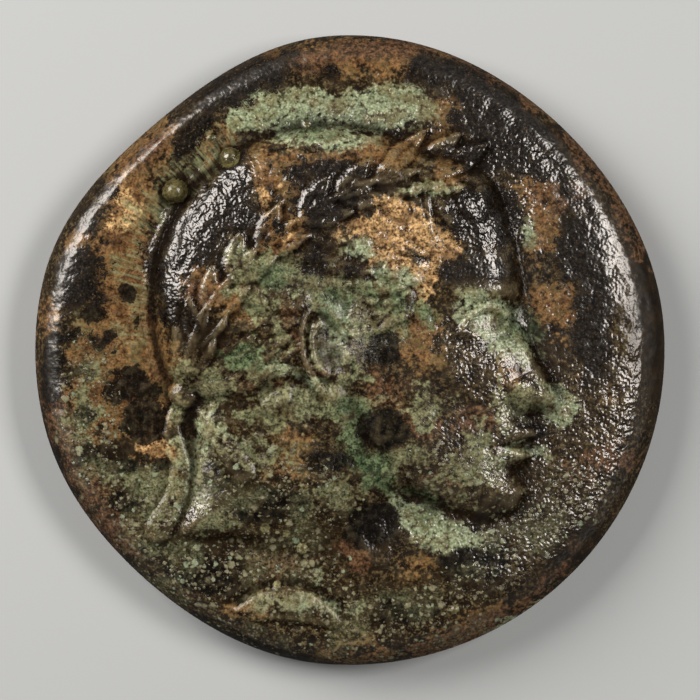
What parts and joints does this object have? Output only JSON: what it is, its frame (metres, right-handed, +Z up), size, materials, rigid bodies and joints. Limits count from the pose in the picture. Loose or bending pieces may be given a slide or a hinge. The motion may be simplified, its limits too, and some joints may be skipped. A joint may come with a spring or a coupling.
{
  "type": "ancient bronze coin",
  "caption": "Thick struck bronze coin with a worn rounded edge, a wreathed head in relief on the obverse and a worn laurel wreath on the reverse.",
  "frame": {"origin": "middle of the coin's box, on the plane of the flat land that it rests on", "axes": "+Z up out of the obverse, +Y to the top of the head, +X the way that the head looks"},
  "size_m": [0.028, 0.028, 0.0042],
  "materials": {
    "bronze": "worn, with a mottled brown, black and green patina and a fine gritty grain"
  },
  "bodies": {
    "root": {"coin": "bronze"}
  },
  "joints": []
}
